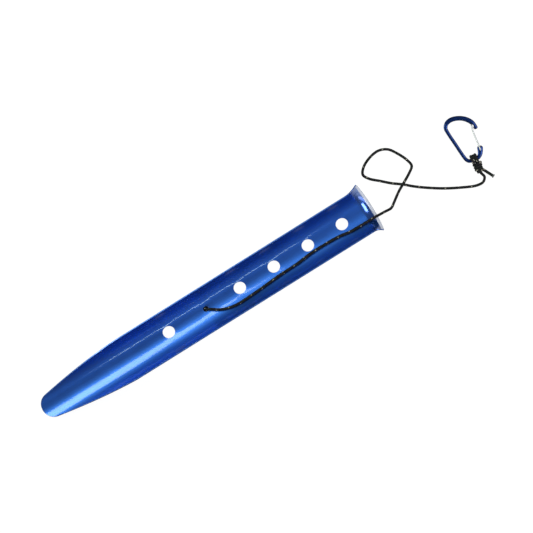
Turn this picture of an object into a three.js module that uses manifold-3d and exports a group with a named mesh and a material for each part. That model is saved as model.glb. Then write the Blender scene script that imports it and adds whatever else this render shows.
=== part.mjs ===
// Snow and sand tent stake with a knotted cord and a small wire-gate carabiner.
// Millimetres, +Z up. The stake lies on its back with its hollow side up and its head towards +X.
// The origin is on the ground, under the middle of the stake.
import * as THREE from 'three';
import { mergeVertices } from 'three/addons/utils/BufferGeometryUtils.js';
import Module from 'manifold-3d';

// Stake: one sheet, cut flat, pierced, then rolled into a channel and belled at the head.
const STAKE_LENGTH = 310;
const SHEET = 1.0;
const BACK_RADIUS = 18.7; // outer radius of the rolled channel
const HALF_GIRTH = 25.6; // from the centre line to one rim, along the outer surface
const TIP_RADIUS = 11.1; // round nose of the flat blank
const TAPER_ANGLE = 11.75; // each side of the flat blank, degrees
const FLARE_RADIUS = 9.0; // bell mouth, at mid sheet
const FLARE_ANGLE = 62; // how far the bell mouth turns out, degrees
const HORN_ANGLE = 69; // half angle of the channel at the lip, degrees
const ACROSS = 21; // facets round the channel; odd, so that the lowest one lies flat

// Piercings on the centre line, measured from the head.
const HOLE_BORE = 10;
const CORD_BORE = 4.5;
const HEAD_TO_HOLE = 27.6;
const HOLE_PITCH = 32;
const HEAD_HOLES = 4;
const LOWER_HOLE_PITCH = 35;

// Cord, its knots and the clearance between pieces that touch.
const CORD = 2.2;
const CLEARANCE = 0.3;
const GROUND_GAP = 0.1;
const KNOT_LENGTH = 7.0;
const KNOT_WIDTH = 6.6;
const BARREL_TOP_RADIUS = 3.6;
const BARREL_END_RADIUS = 2.8;
const TAIL_LENGTH = 7.6;

// Carabiner: a forged bar of uneven width round a D, and a bent wire gate.
const BAR_THICKNESS = 3.2;
const BAR_ROUNDING = 1.0;
const BAR_HALF_WIDTH = 1.55; // where the hitch holds it
const WIRE = 1.1;
const GATE_NOSE_SPREAD = 1.9; // the gate's legs from the mid plane, at the nose
const CARABINER_TURN = -8; // the held bar's heading against +X, degrees
const CARABINER_REACH = 38; // from the held bar to the far side of the bow

const wasm = await Module();
wasm.setup();

const rad = THREE.MathUtils.degToRad;

function solidOf(geometry) {
  const bare = geometry.clone();
  bare.deleteAttribute('normal');
  bare.deleteAttribute('uv');
  const merged = mergeVertices(bare, 1e-4);
  return new wasm.Manifold(new wasm.Mesh({
    numProp: 3,
    vertProperties: merged.attributes.position.array,
    triVerts: new Uint32Array(merged.index.array),
  }));
}

function geometryOf(solid) {
  const { vertProperties, triVerts } = solid.getMesh();
  const geometry = new THREE.BufferGeometry();
  geometry.setAttribute('position', new THREE.BufferAttribute(new Float32Array(vertProperties), 3));
  geometry.setIndex(new THREE.BufferAttribute(new Uint32Array(triVerts), 1));
  geometry.computeVertexNormals();
  return geometry;
}

function named(name, geometry, material) {
  const mesh = new THREE.Mesh(geometry, material);
  mesh.name = name;
  return mesh;
}

function metal(color, roughness) {
  return new THREE.MeshStandardMaterial({ color, roughness, metalness: 1 });
}

function braid() {
  return new THREE.MeshStandardMaterial({ color: 0x18191b, roughness: 0.8, metalness: 0 });
}

// A round section swept along a path, with closed ends.
function tube(path, diameter, steps, sides = 8) {
  const section = new THREE.Shape();
  for (let i = 0; i < sides; i += 1) {
    const turn = (i / sides) * 2 * Math.PI;
    const x = (diameter / 2) * Math.cos(turn);
    const y = (diameter / 2) * Math.sin(turn);
    if (i === 0) section.moveTo(x, y);
    else section.lineTo(x, y);
  }
  section.closePath();
  return new THREE.ExtrudeGeometry(section, { steps, extrudePath: path, bevelEnabled: false });
}

function smoothPath(points) {
  return new THREE.CatmullRomCurve3(points.map((p) => new THREE.Vector3(...p)));
}

// ---- Stake ----

const headX = STAKE_LENGTH / 2;
const tipX = -STAKE_LENGTH / 2;
const midRadius = BACK_RADIUS - SHEET / 2;
const flareTurn = rad(FLARE_ANGLE);
const flareX = headX - SHEET / 2 * Math.sin(flareTurn) - FLARE_RADIUS * Math.sin(flareTurn);
const lipMidRadius = midRadius + FLARE_RADIUS * (1 - Math.cos(flareTurn));
const lipOuterRadius = lipMidRadius + SHEET / 2 * Math.cos(flareTurn);
// The lip's lowest facet stands on the ground, which sets the height of the channel's axis.
const axisZ = lipOuterRadius * Math.cos(rad(HORN_ANGLE) / ACROSS);
const backZ = axisZ - BACK_RADIUS * Math.cos(HALF_GIRTH / BACK_RADIUS / ACROSS);

// Stations along the stake: where the mid sheet is, which way it faces, and its half angle.
function stakeStations() {
  const stations = [];
  const add = (x, halfWidth) => {
    stations.push({ x, radius: midRadius, turn: 0, half: halfWidth / BACK_RADIUS });
  };
  const noseEnd = 90 - TAPER_ANGLE;
  const noseSteps = 9;
  const bluntTurn = 8; // the nose's first chord is this far off its tip, degrees
  for (let i = 0; i <= noseSteps; i += 1) {
    const a = rad(bluntTurn + (noseEnd - bluntTurn) * (i / noseSteps));
    const back = i === 0 ? 0 : TIP_RADIUS * (1 - Math.cos(a));
    add(tipX + back, TIP_RADIUS * Math.sin(a));
  }
  const noseWidth = TIP_RADIUS * Math.sin(rad(noseEnd));
  const noseX = tipX + TIP_RADIUS * (1 - Math.cos(rad(noseEnd)));
  const taperEndX = noseX + (HALF_GIRTH - noseWidth) / Math.tan(rad(TAPER_ANGLE));
  const taperSteps = 4;
  for (let i = 1; i <= taperSteps; i += 1) {
    const share = i / taperSteps;
    add(
      THREE.MathUtils.lerp(noseX, taperEndX, share),
      THREE.MathUtils.lerp(noseWidth, HALF_GIRTH, share),
    );
  }
  add((taperEndX + flareX) / 2, HALF_GIRTH);
  const flareSteps = 7;
  for (let i = 0; i <= flareSteps; i += 1) {
    const share = i / flareSteps;
    const turn = flareTurn * share;
    stations.push({
      x: flareX + FLARE_RADIUS * Math.sin(turn),
      radius: midRadius + FLARE_RADIUS * (1 - Math.cos(turn)),
      turn,
      half: THREE.MathUtils.lerp(HALF_GIRTH / BACK_RADIUS, rad(HORN_ANGLE), share * share),
    });
  }
  return stations;
}

const cordHoleX = headX - HEAD_TO_HOLE - HEAD_HOLES * HOLE_PITCH;

function holePlaces() {
  const places = [];
  for (let i = 0; i < HEAD_HOLES; i += 1) {
    places.push({ x: headX - HEAD_TO_HOLE - i * HOLE_PITCH, bore: HOLE_BORE });
  }
  places.push({ x: cordHoleX, bore: CORD_BORE });
  places.push({ x: cordHoleX - LOWER_HOLE_PITCH, bore: HOLE_BORE });
  return places;
}

// A flat box is rolled: its length follows the stations, its width goes round the axis,
// and its depth is the sheet.
function stakeBlade() {
  const stations = stakeStations();
  const last = stations.length - 1;
  const box = new THREE.BoxGeometry(1, 1, 1, last, ACROSS, 1);
  const position = box.attributes.position;
  for (let i = 0; i < position.count; i += 1) {
    const { x, radius, turn, half } = stations[Math.round((position.getX(i) + 0.5) * last)];
    const angle = 2 * position.getY(i) * half;
    const outward = -position.getZ(i) * SHEET;
    const r = radius + outward * Math.cos(turn);
    position.setXYZ(
      i,
      x - outward * Math.sin(turn),
      r * Math.sin(angle),
      axisZ - r * Math.cos(angle),
    );
  }
  let blade = solidOf(box);
  for (const { x, bore } of holePlaces()) {
    const punch = new THREE.CylinderGeometry(bore / 2, bore / 2, 12 * SHEET, 24);
    punch.rotateX(Math.PI / 2);
    punch.translate(x, 0, backZ + SHEET / 2);
    blade = blade.subtract(solidOf(punch));
  }
  return named('stake_blade', geometryOf(blade), metal(0x1c4fb4, 0.3));
}

// ---- Cord: up through its small hole, along the channel, over the lip, one loose loop, the hitch ----

const CORD_POINTS = [
  [-1.25, 0.35, 4.8], [-0.6, 0.0, 5.9], [0.9, -0.8, 7.4], [3.2, -2.2, 8.2], [8.9, -6.0, 8.3],
  [15.5, -8.5, 9.4], [23, -9.8, 10.3], [36, -9.7, 10.2], [66, -8.0, 9.1], [80, -7.7, 8.9],
  [97, -6.3, 8.3], [120, -6.9, 8.5], [130, -8.4, 9.3], [144, -8.8, 9.6], [153, -9.0, 9.2],
  [161, -9.6, 6.0], [167.4, -10.0, 2.1], [171.6, -7.4, 1.2], [179, -2.3, 1.2], [194.5, 6.2, 1.2],
  [198.8, 9.8, 1.2], [198.3, 15, 1.2], [194.5, 23.8, 1.2], [189.5, 31, 1.2], [182.5, 34, 1.2],
  [173.5, 32.8, 1.2], [165.6, 28.9, 1.2], [162.1, 24.2, 1.2], [164.4, 19.3, 1.2], [171.5, 12.5, 1.4],
  [178, 6.5, 2.5], [185, 1.2, 3.8], [191.5, -4.8, 2.7], [199, -10.8, 1.4], [211, -19, 1.2],
  [224, -26.2, 1.2], [234, -30.7, 1.2], [240, -31.2, 1.3], [243.2, -28.2, 2.0], [242.6, -24.4, 3.0],
];

function guyCord() {
  return named('guy_cord', tube(smoothPath(CORD_POINTS), CORD, 80), braid());
}

// The knot sits just behind the cord hole, between the ground and the stake's back.
const knotX = cordHoleX - 1.1;
const knotY = 0.35;
const groundZ = GROUND_GAP + CORD / 2; // centre of a cord that lies on the ground

function stopperKnot() {
  const height = backZ - 2 * CLEARANCE - GROUND_GAP;
  const knot = new THREE.SphereGeometry(0.5, 14, 9);
  knot.scale(KNOT_LENGTH, KNOT_WIDTH, height);
  const mesh = named('stopper_knot', geometryOf(solidOf(knot)), braid());
  mesh.position.set(knotX, knotY, GROUND_GAP + height / 2);
  return mesh;
}

function stopperTail() {
  const fromX = knotX - KNOT_LENGTH / 2 - CLEARANCE;
  const path = smoothPath([
    [fromX, knotY + 0.4, groundZ],
    [fromX - TAIL_LENGTH / 2, knotY + 1.2, groundZ],
    [fromX - TAIL_LENGTH, knotY + 1.6, groundZ],
  ]);
  return named('stopper_tail', tube(path, CORD, 4), braid());
}

// ---- Hitch: two turns round the carabiner's bar, a barrel of wraps, and a cut end ----

const HITCH_X = 243.9; // the held bar's place over the ground
const HITCH_Y = -12.1;
const turnRadius = BAR_THICKNESS / 2 + 2 * CLEARANCE + CORD / 2;
const turnSpread = 140; // each turn runs this far either side of the bar's far side, degrees
const barZ = groundZ + turnRadius;

function hitchTurns() {
  const turnSteps = 14;
  return ['hitch_turn_left', 'hitch_turn_right'].map((name, i) => {
    const x = (i - 0.5) * (CORD + CLEARANCE);
    const points = [];
    for (let step = 0; step <= turnSteps; step += 1) {
      const a = rad(turnSpread * (1 - (2 * step) / turnSteps));
      points.push([x, turnRadius * Math.cos(a), turnRadius * Math.sin(a)]);
    }
    return named(name, tube(smoothPath(points), CORD, turnSteps), braid());
  });
}

// The barrel fills the way from the turns' ends to the cord's end, in the eye's own turned frame.
function hitchBarrel() {
  const turnsEnd = (turnRadius + CORD / 2) * Math.cos(rad(turnSpread));
  const cordEnd = new THREE.Vector3(...CORD_POINTS.at(-1))
    .sub(new THREE.Vector3(HITCH_X, HITCH_Y, barZ))
    .applyAxisAngle(new THREE.Vector3(0, 0, 1), rad(-CARABINER_TURN));
  const leaningFace = CORD / 6; // the cord's last face leans, so its rim reaches this much further
  const topZ = GROUND_GAP + BARREL_TOP_RADIUS - barZ;
  const endZ = GROUND_GAP + BARREL_END_RADIUS - barZ;
  const start = new THREE.Vector3(0.9, turnsEnd - CLEARANCE, topZ);
  const end = new THREE.Vector3(0.3, cordEnd.y + leaningFace + CLEARANCE, endZ);
  const along = end.clone().sub(start);
  const length = along.length();
  const profile = [
    [0, 0], [BARREL_TOP_RADIUS - 0.9, 0], [BARREL_TOP_RADIUS, 1.1],
    [(BARREL_TOP_RADIUS + BARREL_END_RADIUS) / 2, length / 2],
    [BARREL_END_RADIUS, length - 1], [BARREL_END_RADIUS - 0.9, length], [0, length],
  ].map(([r, at]) => new THREE.Vector2(r, at));
  const barrel = named(
    'hitch_barrel', geometryOf(solidOf(new THREE.LatheGeometry(profile, 16))), braid(),
  );
  barrel.position.copy(start);
  barrel.quaternion.setFromUnitVectors(new THREE.Vector3(0, 1, 0), along.normalize());
  return barrel;
}

function hitchTail() {
  const path = smoothPath([
    [246.2, -24.6, groundZ + 1.1], [247.9, -28.2, groundZ + 0.4], [249.7, -31.9, groundZ + 0.1],
  ]);
  return named('hitch_tail', tube(path, CORD, 4), braid());
}

// ---- Carabiner, in its own plane: the held bar lies along X through the origin ----

// Centre line from the gate's hinge, round the D to the nose: x, y and half width.
const BAR_POINTS = [
  [8.0, 6.7, 1.9], [7.0, 4.1, 1.85], [5.5, 1.7, 1.7], [3.1, 0.0, BAR_HALF_WIDTH],
  [0, 0, BAR_HALF_WIDTH], [-2.7, 0.0, BAR_HALF_WIDTH], [-4.9, 0.8, 1.5], [-6.3, 2.9, 1.4],
  [-7.0, 5.7, 1.32], [-9.0, 17.0, 1.32], [-10.9, 28.3, 1.35], [-11.0, 31.5, 1.45],
  [-9.5, 34.2, 1.65], [-6.7, 35.8, 1.85], [-3.2, 36.1, 1.9], [0.8, 35.2, 1.9],
  [4.7, 33.3, 1.9], [7.9, 30.5, 1.9], [10.1, 27.2, 1.85], [11.0, 23.8, 1.8],
];
// The gate's course in the same plane, from its hinge to the nose.
const GATE_POINTS = [[7.45, 5.2], [7.6, 7.6], [7.75, 11], [7.75, 16], [8.0, 21.4], [8.7, 25.0], [8.8, 25.9]];

function ribbonOutline(points, steps) {
  const centre = smoothPath(points);
  const left = [];
  const right = [];
  for (let i = 0; i <= steps; i += 1) {
    const at = centre.getPoint(i / steps);
    const along = centre.getTangent(i / steps).setZ(0).normalize();
    const across = new THREE.Vector2(-along.y, along.x).multiplyScalar(at.z);
    left.push(new THREE.Vector2(at.x + across.x, at.y + across.y));
    right.push(new THREE.Vector2(at.x - across.x, at.y - across.y));
  }
  return { left, right };
}

// Points of the half circle that closes the ribbon between two of its corners.
function roundEnd(from, to, steps = 6) {
  const middle = from.clone().add(to).multiplyScalar(0.5);
  const arm = from.clone().sub(middle);
  const points = [];
  for (let i = 1; i < steps; i += 1) {
    points.push(arm.clone().rotateAround(new THREE.Vector2(), (i / steps) * Math.PI).add(middle));
  }
  return points;
}

function gatePath() {
  const hingeSpread = BAR_THICKNESS / 2 + CLEARANCE + WIRE / 2;
  const reach = GATE_POINTS.length - 1;
  const leg = GATE_POINTS.map(([x, y], i) => {
    const share = Math.min(1, i / (reach - 1));
    return [x, y, THREE.MathUtils.lerp(hingeSpread, GATE_NOSE_SPREAD, share)];
  });
  const [hinge] = leg;
  const nose = leg.pop();
  const pinEnd = 0.4;
  const upper = [
    [hinge[0], hinge[1], pinEnd],
    [hinge[0], hinge[1], hinge[2] - 0.7],
    [hinge[0] + 0.05, hinge[1] + 0.6, hinge[2]],
    ...leg.slice(1),
    [nose[0], nose[1], nose[2] - 0.6],
  ];
  const lower = upper.map(([x, y, z]) => [x, y, -z]).reverse();
  return smoothPath([...upper, [nose[0], nose[1], 0], ...lower]);
}

function carabinerFrame() {
  const { left, right } = ribbonOutline(BAR_POINTS, 52);
  const outline = [
    ...right, ...roundEnd(right.at(-1), left.at(-1)),
    ...left.toReversed(), ...roundEnd(left[0], right[0]),
  ];
  const bar = new THREE.ExtrudeGeometry(new THREE.Shape(outline), {
    depth: BAR_THICKNESS - 2 * BAR_ROUNDING,
    bevelThickness: BAR_ROUNDING,
    bevelSize: BAR_ROUNDING,
    bevelOffset: -BAR_ROUNDING,
    bevelSegments: 3,
  });
  bar.translate(0, 0, BAR_ROUNDING - BAR_THICKNESS / 2);
  // The gate's own course, with clearance, cuts its two hinge holes and the notch in the nose.
  const relief = solidOf(tube(gatePath(), WIRE + 2 * CLEARANCE, 60));
  const hinge = GATE_POINTS[0];
  const bore = new THREE.CylinderGeometry(
    WIRE / 2 + CLEARANCE, WIRE / 2 + CLEARANCE, 2 * BAR_THICKNESS, 12,
  );
  bore.rotateX(Math.PI / 2);
  bore.translate(hinge[0], hinge[1], 0);
  const solid = solidOf(bar).subtract(relief).subtract(solidOf(bore));
  return named('carabiner_frame', geometryOf(solid), metal(0x1b2c80, 0.35));
}

function wireGate() {
  return named('wire_gate', tube(gatePath(), WIRE, 60), metal(0xd5d8da, 0.2));
}

// ---- Assembly ----

const carabiner = new THREE.Group();
carabiner.name = 'carabiner';
carabiner.rotation.x = -Math.asin((barZ - BAR_THICKNESS / 2 - 2 * GROUND_GAP) / CARABINER_REACH);
carabiner.add(carabinerFrame(), wireGate());

// The turns and the barrel stay level, while the carabiner leans until its bow meets the ground.
const hitchEye = new THREE.Group();
hitchEye.name = 'hitch_eye';
hitchEye.position.set(HITCH_X, HITCH_Y, barZ);
hitchEye.rotation.z = rad(CARABINER_TURN);
hitchEye.add(...hitchTurns(), hitchBarrel(), carabiner);

const tentStake = new THREE.Group();
tentStake.add(stakeBlade(), guyCord(), stopperKnot(), stopperTail(), hitchTail(), hitchEye);

export default tentStake;
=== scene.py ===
import math

import bmesh
import bpy
from mathutils import Matrix, Vector


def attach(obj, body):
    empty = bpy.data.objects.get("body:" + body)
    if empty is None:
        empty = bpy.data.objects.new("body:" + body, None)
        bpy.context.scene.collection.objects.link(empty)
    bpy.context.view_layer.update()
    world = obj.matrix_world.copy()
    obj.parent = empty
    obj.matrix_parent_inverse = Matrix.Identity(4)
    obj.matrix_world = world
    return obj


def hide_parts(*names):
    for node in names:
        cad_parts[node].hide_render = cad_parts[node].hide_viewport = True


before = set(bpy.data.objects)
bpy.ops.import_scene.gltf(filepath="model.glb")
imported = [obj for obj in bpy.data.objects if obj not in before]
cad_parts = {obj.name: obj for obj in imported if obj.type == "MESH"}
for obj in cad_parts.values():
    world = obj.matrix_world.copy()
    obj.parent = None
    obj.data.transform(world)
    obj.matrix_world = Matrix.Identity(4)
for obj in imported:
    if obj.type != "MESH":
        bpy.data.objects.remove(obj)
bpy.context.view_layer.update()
mm = 0.001
print("frame loaded:", len(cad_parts), "nodes")


def deselectAll():
    if bpy.context.mode != "OBJECT":
        bpy.ops.object.mode_set(mode="OBJECT")
    bpy.ops.object.select_all(action="DESELECT")


def takeUp(piece):  # the only selected object, and the active one
    deselectAll()
    piece.select_set(True)
    bpy.context.view_layer.objects.active = piece


def newPiece(name):  # names what the last primitive operator made
    piece = bpy.context.object
    piece.name = piece.data.name = name
    return piece


def applyModifier(piece, kind, **values):
    takeUp(piece)
    modifier = piece.modifiers.new(kind, kind)
    for name, value in values.items():
        setattr(modifier, name, value)
    bpy.ops.object.modifier_apply(modifier=modifier.name)


# A smooth curve through given points (mm), with a point about every `spacing` mm.
def smoothRoute(points, spacing):
    knots = [Vector(p) for p in points]
    knots = [knots[0] * 2 - knots[1], *knots, knots[-1] * 2 - knots[-2]]
    route = [knots[1]]
    for a, b, c, d in zip(knots, knots[1:], knots[2:], knots[3:]):
        ab, bc, cd = ((q - p).length ** 0.5 for p, q in ((a, b), (b, c), (c, d)))
        leave = ((b - a) / ab - (c - a) / (ab + bc) + (c - b) / bc) * bc
        arrive = ((c - b) / bc - (d - b) / (bc + cd) + (d - c) / cd) * bc
        steps = max(2, round((c - b).length / spacing))
        for i in range(1, steps + 1):
            t = i / steps
            route.append(b * (2 * t**3 - 3 * t**2 + 1) + leave * (t**3 - 2 * t**2 + t)
                         + c * (3 * t**2 - 2 * t**3) + arrive * (t**3 - t**2))
    return route


def routeLength(route):
    return sum((b - a).length for a, b in zip(route, route[1:]))


# A round bar along a route (mm). Its UVs run once round, and once a diameter along.
# The fused attribute is 1 at a melted end, whose swell is given.
def roundBar(name, route, diameter, resolution, endSwell=1.0):
    line = bpy.data.curves.new(name, "CURVE")
    line.dimensions = "3D"
    line.bevel_depth = diameter / 2 * mm
    line.bevel_resolution = resolution
    line.use_fill_caps = True
    spline = line.splines.new("POLY")
    spline.points.add(len(route) - 1)
    for i, (point, at) in enumerate(zip(spline.points, route)):
        point.co = (*(at * mm), 1)
        point.radius = endSwell if i >= len(route) - 3 else 1
    piece = bpy.data.objects.new(name, line)
    bpy.context.scene.collection.objects.link(piece)
    takeUp(piece)
    bpy.ops.object.convert(target="MESH")
    turns = routeLength(route) / diameter
    for loop in piece.data.uv_layers[0].data:
        loop.uv = (loop.uv.y, loop.uv.x * turns)
    fused = piece.data.attributes.new("fused", "FLOAT", "POINT")
    tip = route[-1] * mm
    for v, share in zip(piece.data.vertices, fused.data):
        share.value = 1.0 if endSwell > 1 and (v.co - tip).length < diameter * 0.8 * mm else 0.0
    piece.data.shade_smooth()
    return piece


print("stage 1: camera, floor and lights")
view = {
    "target": (58.48 * mm, 3.14 * mm, 5 * mm),
    "lean": (0.09, 0.046, 1.0),  # from the stake towards the camera
    "heading": 31.966,  # the stake's length against the picture's level line, degrees
    "distance": 4.0,
    "lens": 339.6,
}


def placeCamera(settings):
    toCamera = Vector(settings["lean"]).normalized()
    along = (Vector((1, 0, 0)) - toCamera * toCamera.x).normalized()
    across = toCamera.cross(along)
    heading = math.radians(settings["heading"])
    right = along * math.cos(heading) - across * math.sin(heading)
    up = along * math.sin(heading) + across * math.cos(heading)
    at = Vector(settings["target"]) + toCamera * settings["distance"]
    data = bpy.data.cameras.new("camera")
    data.lens = settings["lens"]
    data.sensor_width = 36
    data.clip_end = 50
    camera = bpy.data.objects.new("camera", data)
    bpy.context.scene.collection.objects.link(camera)
    camera.matrix_world = (Matrix.Translation(at)
                           @ Matrix((right, up, toCamera)).transposed().to_4x4())
    bpy.context.scene.camera = camera


placeCamera(view)
bpy.context.scene.view_settings.view_transform = "Standard"

light = {
    "roomColour": (0.92, 0.96, 1.0), "roomLight": 0.165, "roomSeen": 0.9,
    "floorSeen": 0.95, "floorLight": 0.32, "floorSize": 9, "floorColour": (0.12, 0.12, 0.12, 1),
    "floorRoughness": 0.9,
    # place, size along and across (m), turn in plan (degrees), power (W), aimed at (m), colour
    "boxes": {
        "bandBox": ((-0.24, 0.4, 0.5), (0.36, 0.36), 34, 4.0, (-0.1, 0, 0), (0.88, 1, 0.8)),
        "lineStrip": ((-0.07, -0.45, 0.5), (0.22, 0.032), 0, 0.3, (0, 0, 0), (0.72, 1, 1)),
        "headBox": ((0.52, -0.13, 0.5), (0.25, 0.48), 0, 2.5, (0.15, 0, 0), (1, 1, 0.97)),
        "endWall": ((0.8, -0.3, 0.12), (0.8, 0.2), 0, 0.9, (0.15, 0, 0.01), (0.85, 0.92, 1)),
    },
}


def softbox(name, at, size, turn, power, aim, colour):
    data = bpy.data.lights.new(name, "AREA")
    data.shape = "RECTANGLE"
    data.size, data.size_y = size
    data.energy = power
    data.color = colour
    box = bpy.data.objects.new(name, data)
    bpy.context.scene.collection.objects.link(box)
    back = (Vector(at) - Vector(aim)).normalized()
    length = Vector((math.cos(math.radians(turn)), math.sin(math.radians(turn)), 0))
    width = back.cross(length).normalized()
    box.matrix_world = (Matrix.Translation(at)
                        @ Matrix((width.cross(back), width, back)).transposed().to_4x4())


# Glows at one strength for the camera and at another for the light that it gives.
def twoStrengths(tree, kind, colour, seen, given):
    path = tree.nodes.new("ShaderNodeLightPath").outputs["Is Camera Ray"]
    step = tree.nodes.new("ShaderNodeMapRange")
    step.inputs["To Min"].default_value = given
    step.inputs["To Max"].default_value = seen
    tree.links.new(path, step.inputs["Value"])
    glow = tree.nodes.new(kind)
    glow.inputs["Color"].default_value = (*colour, 1)
    tree.links.new(step.outputs["Result"], glow.inputs["Strength"])
    return glow.outputs[0]


def lightStage(settings):
    world = bpy.data.worlds.new("room")
    bpy.context.scene.world = world
    world.use_nodes = True
    glow = twoStrengths(world.node_tree, "ShaderNodeBackground", settings["roomColour"],
                        settings["roomSeen"], settings["roomLight"])
    world.node_tree.links.new(glow, world.node_tree.nodes["World Output"].inputs["Surface"])
    for name, box in settings["boxes"].items():
        softbox(name, *box)
    deselectAll()
    bpy.ops.mesh.primitive_plane_add(size=settings["floorSize"])
    floor = newPiece("floor")
    floorFinish = bpy.data.materials.new("paleFloor")
    floorFinish.use_nodes = True
    tree = floorFinish.node_tree
    glow = twoStrengths(tree, "ShaderNodeEmission", (1, 1, 1),
                        settings["floorSeen"], settings["floorLight"])
    paint = tree.nodes["Principled BSDF"]
    paint.inputs["Base Color"].default_value = settings["floorColour"]
    paint.inputs["Roughness"].default_value = settings["floorRoughness"]
    paint.inputs["Specular IOR Level"].default_value = 0.0
    both = tree.nodes.new("ShaderNodeAddShader")
    tree.links.new(glow, both.inputs[0])
    tree.links.new(paint.outputs[0], both.inputs[1])
    tree.links.new(both.outputs[0], tree.nodes["Material Output"].inputs["Surface"])
    floor.data.materials.append(floorFinish)


lightStage(light)

print("stage 2: materials")


def addNode(tree, kind, inputs=None, **settings):
    node = tree.nodes.new(kind)
    for name, value in settings.items():
        setattr(node, name, value)
    for socket, value in (inputs or {}).items():
        if isinstance(value, bpy.types.NodeSocket):
            tree.links.new(value, node.inputs[socket])
        else:
            node.inputs[socket].default_value = value
    return node


def sums(tree, operation, *values):  # one Math node
    return addNode(tree, "ShaderNodeMath", dict(enumerate(values)), operation=operation).outputs[0]


def ramp(tree, value, low, high, outLow=0.0, outHigh=1.0):  # a smooth step from low to high
    return addNode(tree, "ShaderNodeMapRange", {
        "Value": value, "From Min": low, "From Max": high, "To Min": outLow, "To Max": outHigh,
    }, interpolation_type="SMOOTHSTEP").outputs["Result"]


# A Mix node's share and two colours are its inputs 0, 6 and 7, and its colour is output 2.
def blendColours(tree, share, a, b):
    return addNode(tree, "ShaderNodeMix", {0: share, 6: a, 7: b}, data_type="RGBA").outputs[2]


def newGroup(name, inputs, outputs):
    group = bpy.data.node_groups.new(name, "ShaderNodeTree")
    for direction, sockets in (("INPUT", inputs), ("OUTPUT", outputs)):
        for socketName, (kind, value) in sockets.items():
            socket = group.interface.new_socket(
                name=socketName, in_out=direction, socket_type="NodeSocket" + kind)
            if value is not None:
                socket.default_value = value
    start = group.nodes.new("NodeGroupInput")
    end = group.nodes.new("NodeGroupOutput")
    return group, start.outputs, end


# Fine grain drawn out along the rolling direction, and soft uneven patches.
def drawnGrainGroup():
    group, given, end = newGroup(
        "drawnGrain",
        {"Vector": ("Vector", None), "Grain Scale": ("Float", 900.0), "Stretch": ("Float", 0.04),
         "Patch Scale": ("Float", 40.0)},
        {"Grain": ("Float", None), "Patches": ("Float", None)})
    stretched = addNode(group, "ShaderNodeCombineXYZ", {"X": given["Stretch"], "Y": 1.0, "Z": 1.0})
    drawn = addNode(group, "ShaderNodeVectorMath", {0: given["Vector"], 1: stretched.outputs[0]},
                    operation="MULTIPLY")
    grain = addNode(group, "ShaderNodeTexNoise", {
        "Vector": drawn.outputs[0], "Scale": given["Grain Scale"], "Detail": 4.0, "Roughness": 0.6})
    patches = addNode(group, "ShaderNodeTexNoise", {
        "Vector": given["Vector"], "Scale": given["Patch Scale"], "Detail": 3.0})
    group.links.new(grain.outputs["Fac"], end.inputs["Grain"])
    group.links.new(patches.outputs["Fac"], end.inputs["Patches"])
    return group


# A worn colour's share on cut edges, from the cutEdge attribute that is given and a noise.
def edgeWearGroup():
    group, given, end = newGroup(
        "edgeWear",
        {"Vector": ("Vector", None), "Edge": ("Float", 0.0), "Speck Scale": ("Float", 600.0),
         "Reach": ("Float", 0.5)},
        {"Mask": ("Float", None)})
    speck = addNode(group, "ShaderNodeTexNoise", {
        "Vector": given["Vector"], "Scale": given["Speck Scale"], "Detail": 3.0})
    reach = sums(group, "ADD", speck.outputs["Fac"], given["Reach"])
    level = sums(group, "MULTIPLY", given["Edge"], reach)
    group.links.new(ramp(group, level, 0.55, 0.85), end.inputs["Mask"])
    return group


# A fleck's half length in pitches and half width in shares of a side, each with a soft edge,
# the sides round the cord, and how many sides the flecks drift for each diameter along it.
fleck = {"halfLength": (0.062, 0.035), "halfWidth": (0.17, 0.1), "sides": 3.0, "drift": 0.31}


# Braid on a cord's UVs: strands that cross, and tracer flecks at an even pitch.
def cordBraidGroup():
    group, given, end = newGroup(
        "cordBraid",
        {"UV": ("Vector", None), "Strands": ("Float", 8.0), "Lay": ("Float", 1.1),
         "Fleck Pitch": ("Float", 4.73), "Fleck Start": ("Float", 0.37)},
        {"Height": ("Float", None), "Flecks": ("Float", None)})
    uv = addNode(group, "ShaderNodeSeparateXYZ", {0: given["UV"]})
    around = sums(group, "MULTIPLY", uv.outputs[0], given["Strands"])
    along = sums(group, "MULTIPLY", uv.outputs[1], given["Lay"])
    waves = []
    for way in ("ADD", "SUBTRACT"):
        phase = sums(group, "MULTIPLY", sums(group, way, around, along), 2 * math.pi)
        waves.append(sums(group, "SINE", phase))
    height = sums(group, "MAXIMUM", *waves)
    group.links.new(ramp(group, height, -0.6, 1.0), end.inputs["Height"])
    pitches = sums(group, "DIVIDE", uv.outputs[1], given["Fleck Pitch"])
    place = sums(group, "FRACT", sums(group, "ADD", pitches, given["Fleck Start"]))
    off = sums(group, "ABSOLUTE", sums(group, "SUBTRACT", place, 0.5))
    near = ramp(group, off, *fleck["halfLength"])
    turned = sums(group, "ADD", sums(group, "MULTIPLY", uv.outputs[0], fleck["sides"]),
                  sums(group, "MULTIPLY", uv.outputs[1], fleck["drift"]))
    side = sums(group, "ABSOLUTE", sums(group, "SUBTRACT", sums(group, "FRACT", turned), 0.5))
    shown = sums(group, "MULTIPLY", near, ramp(group, side, *fleck["halfWidth"]))
    group.links.new(shown, end.inputs["Flecks"])
    return group


drawnGrain, edgeWear, cordBraid = drawnGrainGroup(), edgeWearGroup(), cordBraidGroup()


def newMaterial(name):
    material = bpy.data.materials.new(name)
    material.use_nodes = True
    tree = material.node_tree
    return material, tree, tree.nodes["Principled BSDF"]


def useGroup(tree, group, inputs):
    return addNode(tree, "ShaderNodeGroup", inputs, node_tree=group).outputs


def addBump(tree, surface, height, bump):  # bump: strength, and depth (m)
    node = addNode(tree, "ShaderNodeBump", {
        "Height": height, "Strength": bump[0], "Distance": bump[1]})
    tree.links.new(node.outputs[0], surface.inputs["Normal"])


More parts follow.
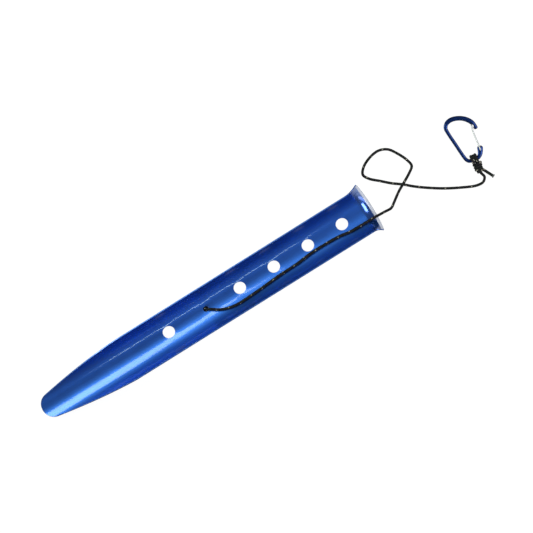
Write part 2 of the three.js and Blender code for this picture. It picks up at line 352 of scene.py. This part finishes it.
blueFinish = {
    # The light patch on the +Y horn beside the bell mouth is a painted reflection of the room, laid
    # on as a colour.
    "colour": (0.024, 0.12, 0.56, 1), "patch": (0.02, 0.105, 0.5, 1),
    # The whitish colour across the bell mouth's lip is a painted reflection of the bright room, not
    # the metal's own colour.
    "lipReflection": (0.8, 0.84, 1.0, 1), "hornReflection": (0.25, 0.37, 0.74, 1), "hornReflectionShare": 0.8,
    "rim": (0.2, 0.17, 0.17, 1), "bare": (0.05, 0.14, 0.5, 1),
    # where each begins and ends along the blade, and the painted horn reflection across it too (mm)
    "lipReflectionAt": (152.5, 152.9), "rimAt": (154.72, 154.87), "mouthAt": (144.0, 150.0),
    "hornReflectionAlong": (146, 153), "hornReflectionAcross": (5, 15),
    # metallic goes from the blade's value to that of the painted reflections on the lip and horn,
    # coat from the blade's to the mouth's, and roughness between the ends of the grain
    "metallic": (0.86, 0.3), "roughness": (0.41, 0.47), "mouthRoughness": 0.2,
    "coat": (0.36, 1.0), "coatRoughness": 0.1, "coatIor": 1.7,
    "grainScale": 1400.0, "patchScale": 45.0, "wearReach": 0.45, "bump": (0.03, 0.00002),
}


def rampAt(tree, value, span):  # span in millimetres
    return ramp(tree, value, span[0] * mm, span[1] * mm)


def blueAnodised(finish):
    material, tree, surface = newMaterial("blueAnodised")
    place = addNode(tree, "ShaderNodeTexCoord").outputs["Object"]
    grain = useGroup(tree, drawnGrain, {
        "Vector": place, "Grain Scale": finish["grainScale"], "Patch Scale": finish["patchScale"]})
    x, y, _ = addNode(tree, "ShaderNodeSeparateXYZ", {0: place}).outputs
    # painted reflection: a whitish band across the bell mouth's lip
    lipReflection = rampAt(tree, x, finish["lipReflectionAt"])
    rim = rampAt(tree, x, finish["rimAt"])
    mouth = rampAt(tree, x, finish["mouthAt"])
    # painted reflection: a light patch on the +Y horn, near the bell mouth
    hornReflectionMask = sums(tree, "MULTIPLY", rampAt(tree, x, finish["hornReflectionAlong"]),
                  rampAt(tree, y, finish["hornReflectionAcross"]))
    hornReflectionMask = sums(tree, "MULTIPLY", hornReflectionMask, finish["hornReflectionShare"])
    edge = addNode(tree, "ShaderNodeAttribute", attribute_name="cutEdge").outputs["Fac"]
    wear = useGroup(tree, edgeWear, {"Vector": place, "Edge": edge, "Reach": finish["wearReach"]})
    patches = ramp(tree, grain["Patches"], 0.35, 0.7)
    colour = blendColours(tree, patches, finish["colour"], finish["patch"])
    # The light colours laid on the lip and on the +Y horn here are painted reflections.
    for share, name in ((hornReflectionMask, "hornReflection"), (lipReflection, "lipReflection"), (rim, "rim"), (wear["Mask"], "bare")):
        colour = blendColours(tree, share, colour, finish[name])
    tree.links.new(colour, surface.inputs["Base Color"])
    painted = sums(tree, "MAXIMUM", lipReflection, hornReflectionMask)
    tree.links.new(ramp(tree, painted, 0.0, 1.0, *finish["metallic"]), surface.inputs["Metallic"])
    rough = ramp(tree, grain["Grain"], 0.3, 0.7, *finish["roughness"])
    rough = ramp(tree, mouth, 0.0, 1.0, rough, finish["mouthRoughness"])
    tree.links.new(rough, surface.inputs["Roughness"])
    tree.links.new(ramp(tree, mouth, 0.0, 1.0, *finish["coat"]), surface.inputs["Coat Weight"])
    surface.inputs["Coat Roughness"].default_value = finish["coatRoughness"]
    surface.inputs["Coat IOR"].default_value = finish["coatIor"]
    addBump(tree, surface, grain["Grain"], finish["bump"])
    return material


braidFinish = {
    "low": (0.002, 0.002, 0.003, 1), "high": (0.021, 0.021, 0.025, 1),
    "greenTint": (0.021, 0.025, 0.021, 1), "pinkTint": (0.026, 0.02, 0.026, 1),
    "fleck": (0.4, 0.37, 0.31, 1), "fused": (0.13, 0.13, 0.135, 1),
    "roughness": 0.72, "specular": 0.12, "bump": (0.7, 0.00018),
}


def braidedCord(finish):
    material, tree, surface = newMaterial("braidedCord")
    coordinates = addNode(tree, "ShaderNodeTexCoord").outputs
    braid = useGroup(tree, cordBraid, {"UV": coordinates["UV"]})
    lumps = addNode(tree, "ShaderNodeTexNoise", {
        "Vector": coordinates["Object"], "Scale": 420.0, "Detail": 2.0}).outputs["Fac"]
    hues = addNode(tree, "ShaderNodeTexNoise", {
        "Vector": coordinates["Object"], "Scale": 260.0, "Detail": 1.0}).outputs["Fac"]
    high = blendColours(tree, ramp(tree, hues, 0.5, 0.62), finish["high"], finish["greenTint"])
    high = blendColours(tree, ramp(tree, hues, 0.45, 0.33), high, finish["pinkTint"])
    raised = sums(tree, "MULTIPLY", braid["Height"], ramp(tree, lumps, 0.3, 0.65, 0.35, 1.0))
    colour = blendColours(tree, raised, finish["low"], high)
    colour = blendColours(tree, braid["Flecks"], colour, finish["fleck"])
    fused = addNode(tree, "ShaderNodeAttribute", attribute_name="fused").outputs["Fac"]
    melted = sums(tree, "MULTIPLY", fused, ramp(tree, lumps, 0.3, 0.6, 0.4, 1.0))
    colour = blendColours(tree, melted, colour, finish["fused"])
    tree.links.new(colour, surface.inputs["Base Color"])
    surface.inputs["Roughness"].default_value = finish["roughness"]
    surface.inputs["Specular IOR Level"].default_value = finish["specular"]
    addBump(tree, surface, braid["Height"], finish["bump"])
    return material


navyFinish = {
    "colour": (0.009, 0.033, 0.165, 1), "patch": (0.008, 0.028, 0.14, 1),
    "roughness": (0.3, 0.4), "coat": 0.25, "coatRoughness": 0.1, "bump": (0.12, 0.00003),
}


def navyAnodised(finish):
    material, tree, surface = newMaterial("navyAnodised")
    place = addNode(tree, "ShaderNodeTexCoord").outputs["Object"]
    grain = useGroup(tree, drawnGrain, {"Vector": place, "Grain Scale": 2200.0, "Stretch": 1.0,
                                        "Patch Scale": 260.0})
    patches = ramp(tree, grain["Patches"], 0.35, 0.7)
    colour = blendColours(tree, patches, finish["colour"], finish["patch"])
    tree.links.new(colour, surface.inputs["Base Color"])
    surface.inputs["Metallic"].default_value = 1.0
    rough = ramp(tree, grain["Grain"], 0.3, 0.7, *finish["roughness"])
    tree.links.new(rough, surface.inputs["Roughness"])
    surface.inputs["Coat Weight"].default_value = finish["coat"]
    surface.inputs["Coat Roughness"].default_value = finish["coatRoughness"]
    addBump(tree, surface, grain["Grain"], finish["bump"])
    return material


wireFinish = {
    "colour": (0.7, 0.71, 0.75, 1), "dull": (0.62, 0.63, 0.66, 1), "metallic": 0.75,
    "roughness": (0.5, 0.6),
}


def steelWire(finish):
    material, tree, surface = newMaterial("steelWire")
    around = addNode(tree, "ShaderNodeTexCoord").outputs["UV"]
    grain = useGroup(tree, drawnGrain, {"Vector": around, "Grain Scale": 14.0, "Stretch": 2.0,
                                        "Patch Scale": 0.8})
    tree.links.new(blendColours(tree, grain["Patches"], finish["colour"], finish["dull"]),
                   surface.inputs["Base Color"])
    surface.inputs["Metallic"].default_value = finish["metallic"]
    rough = ramp(tree, grain["Grain"], 0.3, 0.7, *finish["roughness"])
    tree.links.new(rough, surface.inputs["Roughness"])
    return material


blueAnodisedFinish, braidedCordFinish = blueAnodised(blueFinish), braidedCord(braidFinish)
navyAnodisedFinish, steelWireFinish = navyAnodised(navyFinish), steelWire(wireFinish)


def finishPiece(piece, material, slot, body, *nodes):
    piece.data.materials.clear()
    piece.data.materials.append(material)
    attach(piece, body)
    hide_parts(*nodes)


print("stage 3: cord")
cord = {
    "diameter": 2.2,
    "route": [  # from under the stake's back, up through the cord hole, to the hitch (m)
        (-0.00125, 0.00035, 0.0048), (-0.0006, 0.0, 0.0059), (0.0009, -0.0008, 0.0074),
        (0.0032, -0.0022, 0.0082), (0.0089, -0.0060, 0.0083), (0.0155, -0.0085, 0.0094),
        (0.0230, -0.0098, 0.0103), (0.0360, -0.0097, 0.0102), (0.0660, -0.0080, 0.0091),
        (0.0800, -0.0077, 0.0089), (0.0970, -0.0063, 0.0083), (0.1200, -0.0069, 0.0085),
        (0.1300, -0.0084, 0.0093), (0.1440, -0.0088, 0.0096), (0.1530, -0.0090, 0.0092),
        (0.1610, -0.0096, 0.0060), (0.1674, -0.0100, 0.0021), (0.1716, -0.0074, 0.0012),
        (0.1790, -0.0023, 0.0012), (0.1945, 0.0062, 0.0012), (0.1988, 0.0098, 0.0012),
        (0.1983, 0.0150, 0.0012), (0.1945, 0.0238, 0.0012), (0.1895, 0.0310, 0.0012),
        (0.1825, 0.0340, 0.0012), (0.1735, 0.0328, 0.0012), (0.1656, 0.0289, 0.0012),
        (0.1621, 0.0242, 0.0012), (0.1644, 0.0193, 0.0012), (0.1715, 0.0125, 0.0014),
        (0.1780, 0.0065, 0.0025), (0.1850, 0.0012, 0.0038), (0.1915, -0.0048, 0.0027),
        (0.1990, -0.0108, 0.0014), (0.2110, -0.0190, 0.0012), (0.2240, -0.0262, 0.0012),
        (0.2340, -0.0307, 0.0012), (0.2400, -0.0312, 0.0013), (0.2432, -0.0282, 0.0020),
        (0.2426, -0.0244, 0.0030),
    ],
    "exit": (-0.0006, 0.0, 0.0059),
}


def layCord(settings):
    route = smoothRoute([Vector(p) / mm for p in settings["route"]], 0.8)
    piece = roundBar("guyCord", route, settings["diameter"], 6)
    finishPiece(piece, braidedCordFinish, "cord_braid", "stake", "guy_cord")
    return piece, [p * mm for p in route], routeLength(route) * mm


guyCord, cordPath, cordLength = layCord(cord)
print("cord length", round(cordLength, 4))

print("stage 4: stake")
stake = {
    "length": 310, "sheet": 1.0, "backRadius": 18.7, "halfGirth": 25.6, "axisHeight": 23.171,
    "noseRadius": 11.1, "noseLength": 34.0, "taperAngle": 11.75,
    "flareRadius": 9.0, "flareAngle": 62, "hornAngle": 69, "flareRoom": 137.0,
    # the two horns are bent by hand and differ: radius and angle at the +Y rim and at the -Y rim
    "horns": {1: (19.0, 40.0), -1: (6.76, 70.0)}, "hornBack": 0.7,
    "holes": [(127.4, 10), (95.4, 10), (63.4, 10), (31.4, 10), (-0.6, 4.5), (-35.6, 10)],
    "patch": 16.0, "patchCells": 12, "outerCells": 12, "noseCells": 14, "taperCells": 12,
    "gapCells": 5, "flareCells": 16, "edgeBevel": 0.16,
    "dent": (0.16, 9.5),  # the punch's dent round each hole: depth and reach
}


def stakeBlank(s):  # the flat sheet, pierced, still on the ground plane
    headX, tipX = s["length"] / 2, -s["length"] / 2
    slope = math.tan(math.radians(s["taperAngle"]))
    noseTurn = math.radians(90 - s["taperAngle"])
    noseWidth = s["noseRadius"] * math.sin(noseTurn)
    noseX = tipX + s["noseRadius"] * (1 - math.cos(noseTurn))
    taperEnd = noseX + (s["halfGirth"] - noseWidth) / slope
    straightX = tipX + s["noseLength"]  # first column that is straight across
    flareTurn = math.radians(s["flareAngle"])
    flareX = headX - (s["flareRadius"] + s["sheet"] / 2) * math.sin(flareTurn)
    half = s["patch"] / 2
    marks = [(straightX, 0), (taperEnd, s["taperCells"])]
    for holeX, _ in reversed(s["holes"]):
        marks += [(holeX - half, s["gapCells"]), (holeX + half, s["patchCells"])]
    marks += [(flareX, s["gapCells"]), (flareX + s["flareRadius"] * flareTurn, s["flareCells"])]
    columns = [marks[0][0]]
    for (a, _), (b, cells) in zip(marks, marks[1:]):
        columns += [a + (b - a) * i / cells for i in range(1, cells + 1)]
    inner = [half * i / (s["patchCells"] // 2) for i in range(s["patchCells"] // 2)]
    outer = [half + (s["halfGirth"] - half) * i / s["outerCells"]
             for i in range(s["outerCells"] + 1)]
    rows = [-y for y in reversed(inner[1:] + outer)] + inner + outer
    across, nose = len(rows) - 1, s["noseCells"]
    along = nose + len(columns) - 1
    deselectAll()
    bpy.ops.mesh.primitive_grid_add(x_subdivisions=along, y_subdivisions=across, size=1)
    blank = newPiece("stakeBlade")
    for v in blank.data.vertices:
        i, j = round((v.co.x + 0.5) * along), round((v.co.y + 0.5) * across)
        share = rows[j] / s["halfGirth"]
        if i >= nose:
            x = columns[i - nose]
            width = min(s["halfGirth"], noseWidth + (x - noseX) * slope)
            v.co = (x * mm, share * width * mm, 0)
        else:  # the nose's columns ease from its round end to the first straight one
            ease = i / nose
            turn = share * noseTurn
            endX = tipX + s["noseRadius"] * (1 - math.cos(turn))
            endY = s["noseRadius"] * math.sin(turn)
            straightY = share * (noseWidth + (straightX - noseX) * slope)
            v.co = ((endX + (straightX - endX) * ease) * mm,
                    (endY + (straightY - endY) * ease) * mm, 0)
    for holeX, bore in s["holes"]:
        cutHole(blank, holeX * mm, bore / 2 * mm, half * mm)
    return blank, flareX


def cutHole(blank, x, radius, half):  # a square patch opens, and its rim is drawn in to a circle
    takeUp(blank)
    bpy.ops.object.mode_set(mode="EDIT")
    bpy.ops.mesh.select_all(action="DESELECT")
    bpy.ops.mesh.select_mode(type="FACE")
    shape = bmesh.from_edit_mesh(blank.data)
    for face in shape.faces:
        middle = face.calc_center_median()
        face.select_set(abs(middle.x - x) < half and abs(middle.y) < half)
    bmesh.update_edit_mesh(blank.data)
    bpy.ops.mesh.delete(type="FACE")
    bpy.ops.mesh.select_mode(type="EDGE")
    shape = bmesh.from_edit_mesh(blank.data)
    near = half * 1.02
    for edge in shape.edges:
        inside = all(abs(v.co.x - x) < near and abs(v.co.y) < near for v in edge.verts)
        edge.select_set(inside and edge.is_boundary)
    bmesh.update_edit_mesh(blank.data)
    for left in (3, 2, 1):
        bpy.ops.mesh.extrude_edges_move()
        shape = bmesh.from_edit_mesh(blank.data)
        for v in shape.verts:
            if v.select:
                out = (v.co - Vector((x, 0, 0))).normalized()
                v.co = v.co.lerp(Vector((x, 0, 0)) + out * radius, 1 / left)
        bmesh.update_edit_mesh(blank.data)
    bpy.ops.object.mode_set(mode="OBJECT")


def bellAt(s, share):  # radius and angle of the bell mouth, at a share of the way to either rim
    radius, angle = s["horns"][1 if share > 0 else -1]
    ease = max(0.0, (abs(share) - 0.3) / 0.7) ** 1.5
    return (s["flareRadius"] + (radius - s["flareRadius"]) * ease,
            math.radians(s["flareAngle"] + (angle - s["flareAngle"]) * ease))


def rollSheet(blank, s, flareX):  # bends the flat sheet into a channel with a bell mouth
    midRadius = s["backRadius"] - s["sheet"] / 2
    opened = math.radians(s["hornAngle"]) / (s["halfGirth"] / s["backRadius"])
    room = s["flareRoom"]
    flatEnd = flareX + s["flareRadius"] * math.radians(s["flareAngle"])
    for v in blank.data.vertices:
        x, y, z = v.co / mm
        for holeX, _ in s["holes"]:
            share = min(1.0, math.hypot(x - holeX, y) / s["dent"][1])
            z -= s["dent"][0] * (1 - share**2) ** 2
        bell, bellTurn = bellAt(s, y / s["halfGirth"])
        share = min(1.0, abs(y) / s["halfGirth"])
        bellX = (s["length"] / 2 - s["hornBack"] * share**2
                 - (bell + s["sheet"] / 2) * math.sin(bellTurn))
        if x > room:  # the sheet is a little longer or shorter along each line, by its own bell
            x = room + (x - room) / (flatEnd - room) * (bellX + bell * bellTurn - room)
        turn = max(0.0, (x - bellX) / bell)
        angle = y / s["backRadius"] * (1 + (opened - 1) * min(1.0, turn / bellTurn) ** 2)
        radius = midRadius + bell * (1 - math.cos(turn)) - z * math.cos(turn)
        x = min(x, bellX) + bell * math.sin(turn) + z * math.sin(turn)
        z = s["axisHeight"] - radius * math.cos(angle)
        v.co = Vector((x, radius * math.sin(angle), z)) * mm


def makeStake(s):
    blade, flareX = stakeBlank(s)
    applyModifier(blade, "SOLIDIFY", thickness=s["sheet"] * mm, offset=0.0)
    applyModifier(blade, "BEVEL", width=s["edgeBevel"] * mm, segments=3, limit_method="ANGLE",
                  angle_limit=math.radians(50), use_clamp_overlap=False)
    edge = blade.data.attributes.new("cutEdge", "FLOAT", "POINT")
    for v, share in zip(blade.data.vertices, edge.data):
        share.value = 1.0 if abs(v.co.z) < (s["sheet"] / 2 - 0.01) * mm else 0.0
    rollSheet(blade, s, flareX)
    blade.data.shade_smooth()
    applyModifier(blade, "WEIGHTED_NORMAL", weight=80)
    finishPiece(blade, blueAnodisedFinish, "blue_anodised", "stake", "stake_blade")
    return blade


stakeBlade = makeStake(stake)
print("stake faces", len(stakeBlade.data.polygons))

print("stage 5: carabiner")
carabiner = {
    "at": (243.9, -12.1, 4.5), "turn": -8.0, "tilt": -4.0745,
    "thickness": 3.2, "spacing": 0.9, "edgeBevel": 0.12,
    "sectionPower": 0.575,  # of the bar's section: 1 gives a round one, 0 a square one
    # centre line from the gate's hinge round the D to the nose: x, y, half width
    "bar": [
        (7.8, 6.7, 2.35), (6.9, 4.1, 2.1), (5.5, 1.7, 1.8), (3.1, 0.0, 1.6), (0, 0, 1.55),
        (-2.7, 0.0, 1.55), (-4.9, 0.8, 1.5), (-6.3, 2.9, 1.45), (-7.0, 5.7, 1.42),
        (-9.0, 17.0, 1.42), (-10.9, 28.3, 1.45), (-11.0, 31.5, 1.55), (-9.5, 34.2, 1.65),
        (-6.7, 35.8, 1.85), (-3.2, 36.1, 1.9), (0.8, 35.2, 1.9), (4.7, 33.3, 1.9),
        (7.9, 30.5, 1.95), (10.1, 27.2, 1.9), (11.15, 22.6, 1.65),
    ],
    "wire": 1.1, "slot": 1.7, "hingeBore": 0.72, "cutDepth": 8,
    "gate": [(7.45, 5.2), (7.6, 7.6), (7.75, 11), (7.75, 16), (8.0, 21.4), (8.7, 25.0)],
    "bend": (8.8, 25.9), "hingeSpread": 2.45, "noseSpread": 1.9, "pinDepth": 0.4,
    "notch": (8.9, 24.7, 1.3),  # the bite in the nose that takes the wire's bend: x, y, radius
}


def carabinerPlace(c):
    return (Matrix.Translation(c["at"]) @ Matrix.Rotation(math.radians(c["turn"]), 4, "Z")
            @ Matrix.Rotation(math.radians(c["tilt"]), 4, "X"))


def sweepFace(piece, places):  # carries the selected end face from place to place, a wall behind it
    for before, after in zip(places, places[1:]):
        bpy.ops.mesh.extrude_region_move()
        carry = after @ before.inverted()
        shape = bmesh.from_edit_mesh(piece.data)
        for v in shape.verts:
            if v.select:
                v.co = carry @ v.co
        bmesh.update_edit_mesh(piece.data)


def gateRoute(c):
    low, high = [], []
    firstY, lastY = c["gate"][0][1], c["gate"][-1][1]
    for x, y in c["gate"]:
        share = (y - firstY) / (lastY - firstY)
        spread = c["hingeSpread"] + (c["noseSpread"] - c["hingeSpread"]) * share
        low.append((x, y, -spread))
        high.append((x, y, spread))
    x, y = c["bend"]
    return [*low, (x, y, -c["noseSpread"] * 0.55), (x, y, c["noseSpread"] * 0.55), *reversed(high)]


def makeFrame(c):
    route = smoothRoute(c["bar"], c["spacing"])
    stations = []
    for i, at in enumerate(route):
        ahead = route[min(i + 1, len(route) - 1)] - route[max(i - 1, 0)]
        stations.append((Vector((at.x, at.y, 0)), math.atan2(ahead.y, ahead.x), at.z))
    # both ends are rounded off
    rounded = []
    for at, heading, width in (stations[0], stations[-1]):
        out = -1 if at == stations[0][0] else 1
        step = Vector((math.cos(heading), math.sin(heading), 0)) * out
        cap = [(at + step * width * 0.75 * math.sin(a), heading, math.cos(a))
               for a in (math.radians(d) for d in (25, 45, 62, 76))]
        rounded.append((cap, width))
    (firstCap, firstWidth), (lastCap, lastWidth) = rounded
    sections = [(at, h, firstWidth * k, 0.35 + 0.65 * k) for at, h, k in reversed(firstCap)]
    sections += [(at, h, w, 1.0) for at, h, w in stations]
    sections += [(at, h, lastWidth * k, 0.35 + 0.65 * k) for at, h, k in lastCap]
    places = [
        Matrix.Translation(at * mm) @ Matrix.Rotation(heading, 4, "Z")
        @ Matrix.Diagonal((1, width * mm, c["thickness"] / 2 * mm * flat, 1))
        for at, heading, width, flat in sections
    ]
    deselectAll()
    bpy.ops.mesh.primitive_circle_add(vertices=24, radius=1, fill_type="NGON")
    bar = newPiece("carabinerFrame")
    for v in bar.data.vertices:  # the round becomes a rounded square across the bar
        a = math.atan2(v.co.y, v.co.x)
        y = math.copysign(abs(math.cos(a)) ** c["sectionPower"], math.cos(a))
        z = math.copysign(abs(math.sin(a)) ** c["sectionPower"], math.sin(a))
        v.co = places[0] @ Vector((0, y, z))
    bpy.ops.object.mode_set(mode="EDIT")
    bpy.ops.mesh.select_all(action="SELECT")
    sweepFace(bar, places)
    bpy.ops.mesh.select_all(action="SELECT")
    bpy.ops.mesh.normals_make_consistent(inside=False)
    bpy.ops.object.mode_set(mode="OBJECT")
    return bar


def makeGateSlot(c):  # room for the wire's bend in the nose and for its pins at the hinge
    cutters = [roundBar("gateSlot", smoothRoute(gateRoute(c), 0.5), c["slot"], 4)]
    bores = {"hingeBore": (24, *c["gate"][0], c["hingeBore"]), "noseNotch": (32, *c["notch"])}
    for name, (sides, x, y, radius) in bores.items():
        deselectAll()
        bpy.ops.mesh.primitive_cylinder_add(vertices=sides, radius=radius * mm,
                                            depth=c["cutDepth"] * mm, location=(x * mm, y * mm, 0))
        cutters.append(newPiece(name))
    return cutters


def cutAway(piece, cutters):
    for cutter in cutters:
        applyModifier(piece, "BOOLEAN", operation="DIFFERENCE", object=cutter, solver="EXACT")
        bpy.data.objects.remove(cutter)


def makeCarabiner(c):
    place = carabinerPlace(c)
    metres = Matrix.Scale(mm, 4) @ place @ Matrix.Scale(1 / mm, 4)
    bar = makeFrame(c)
    cutAway(bar, makeGateSlot(c))
    applyModifier(bar, "BEVEL", width=c["edgeBevel"] * mm, segments=2, limit_method="ANGLE",
                  angle_limit=math.radians(48), use_clamp_overlap=True)
    bar.data.transform(metres)
    bar.data.shade_smooth()
    takeUp(bar)
    bpy.ops.object.shade_smooth_by_angle(angle=math.radians(40))
    finishPiece(bar, navyAnodisedFinish, "navy_anodised", "carabiner", "carabiner_frame")
    hinge, face, pin = c["gate"][0], c["thickness"] / 2, c["pinDepth"]
    route = [(*hinge, -pin), (*hinge, -face), *gateRoute(c), (*hinge, face), (*hinge, pin)]
    wire = roundBar("wireGate", smoothRoute(route, 0.35), c["wire"], 4)
    wire.data.transform(metres)
    finishPiece(wire, steelWireFinish, "steel_wire", "gate", "wire_gate")
    return bar, wire


carabinerFrame, wireGate = makeCarabiner(carabiner)

print("stage 6: knots")
hitch = {
    "at": carabiner["at"], "turn": carabiner["turn"], "cord": 2.35, "turnPitch": 3.5,
    # the eye's strands round the bow: place along it in pitches, radius, angles from and to
    "turns": {"hitchTurnLeft": (-0.5, 3.3, 140, -140), "hitchTurnMiddle": (0.0, 3.06, 118, -140),
              "hitchTurnRight": (0.5, 3.3, 140, -140)},
    "barrelFrom": (0.55, -3.6, -0.3), "barrelTo": (-0.2, -10.5, -1.2), "wraps": 3.35,
    "barrelRadius": (2.9, 2.15), "flattening": 0.84, "tailEnd": 1.3,
    "tail": [(245.0, -22.0, 2.9), (246.2, -24.4, 2.3), (247.9, -28.1, 1.7), (249.7, -31.9, 1.62)],
}


def hitchPlace(h):
    return Matrix.Translation(h["at"]) @ Matrix.Rotation(math.radians(h["turn"]), 4, "Z")


def makeHitch(h):
    place = hitchPlace(h)
    pieces = []
    for name, (side, radius, fromTurn, toTurn) in h["turns"].items():
        ring = []
        for i in range(49):
            a = math.radians(fromTurn + (toTurn - fromTurn) * i / 48)
            ring.append(Vector((side * h["turnPitch"], radius * math.cos(a), radius * math.sin(a))))
        pieces.append(roundBar(name, [place @ p for p in ring], h["cord"], 5))
    start, end = Vector(h["barrelFrom"]), Vector(h["barrelTo"])
    axis = (end - start).normalized()
    side = Vector((0, 0, 1)).cross(axis).normalized()
    up = axis.cross(side) * h["flattening"]
    steps = int(h["wraps"] * 40)
    helix = []
    for i in range(steps + 1):
        share = i / steps
        a = 2 * math.pi * h["wraps"] * share + 0.4 * math.sin(9 * share)
        radius = h["barrelRadius"][0] + (h["barrelRadius"][1] - h["barrelRadius"][0]) * share
        helix.append(start.lerp(end, share)
                     + side * radius * math.cos(a) + up * radius * math.sin(a))
    pieces.append(roundBar("hitchWraps", [place @ p for p in helix], h["cord"], 5))
    intoCord = Vector(cord["route"][-1]) / mm  # the core ends in the standing line
    beforeIt = Vector(cord["route"][-2]) / mm
    core = [place @ (start - axis * 0.4), place @ start.lerp(end, 0.5),
            place @ start.lerp(end, 0.85), intoCord, intoCord.lerp(beforeIt, 0.12)]
    pieces.append(roundBar("hitchCore", smoothRoute(core, 0.4), h["cord"] * 0.99, 5))
    pieces.append(roundBar("hitchTail", smoothRoute(h["tail"], 0.4), h["cord"], 5, h["tailEnd"]))
    return pieces


turnLeft, turnMiddle, turnRight, wraps, core, tail = makeHitch(hitch)
finishPiece(turnLeft, braidedCordFinish, "cord_braid", "stake", "hitch_turn_left")
finishPiece(turnMiddle, braidedCordFinish, "cord_braid", "stake")
finishPiece(turnRight, braidedCordFinish, "cord_braid", "stake", "hitch_turn_right")
finishPiece(wraps, braidedCordFinish, "cord_braid", "stake", "hitch_barrel")
finishPiece(core, braidedCordFinish, "cord_braid", "stake")
finishPiece(tail, braidedCordFinish, "cord_braid", "stake", "hitch_tail")

stopper = {
    "at": (-1.5, 0.3, 2.0), "cord": 2.2, "size": 0.74, "pull": 0.95, "flat": 0.45,
    "tail": [(-4.4, 1.3, 1.5), (-6.5, 1.55, 1.35), (-10.0, 1.2, 1.2), (-13.0, 0.7, 1.2)],
    "tailEnd": 1.1,
}


def makeStopper(s):  # an overhand knot pulled tight: a flattened trefoil
    knot = []
    for i in range(97):
        a = 2 * math.pi * i / 96
        knot.append(Vector(s["at"]) + Vector((
            (math.sin(a) + 2 * math.sin(2 * a)) * s["size"],
            (math.cos(a) - 2 * math.cos(2 * a)) * s["size"],
            -math.sin(3 * a) * s["flat"])))
    pieces = [roundBar("stopperKnot", knot, s["cord"] * s["pull"], 5)]
    pieces.append(roundBar("stopperTail", smoothRoute(s["tail"], 0.4), s["cord"], 5, s["tailEnd"]))
    return pieces


stopperKnot, stopperTail = makeStopper(stopper)
finishPiece(stopperKnot, braidedCordFinish, "cord_braid", "stake", "stopper_knot")
finishPiece(stopperTail, braidedCordFinish, "cord_braid", "stake", "stopper_tail")
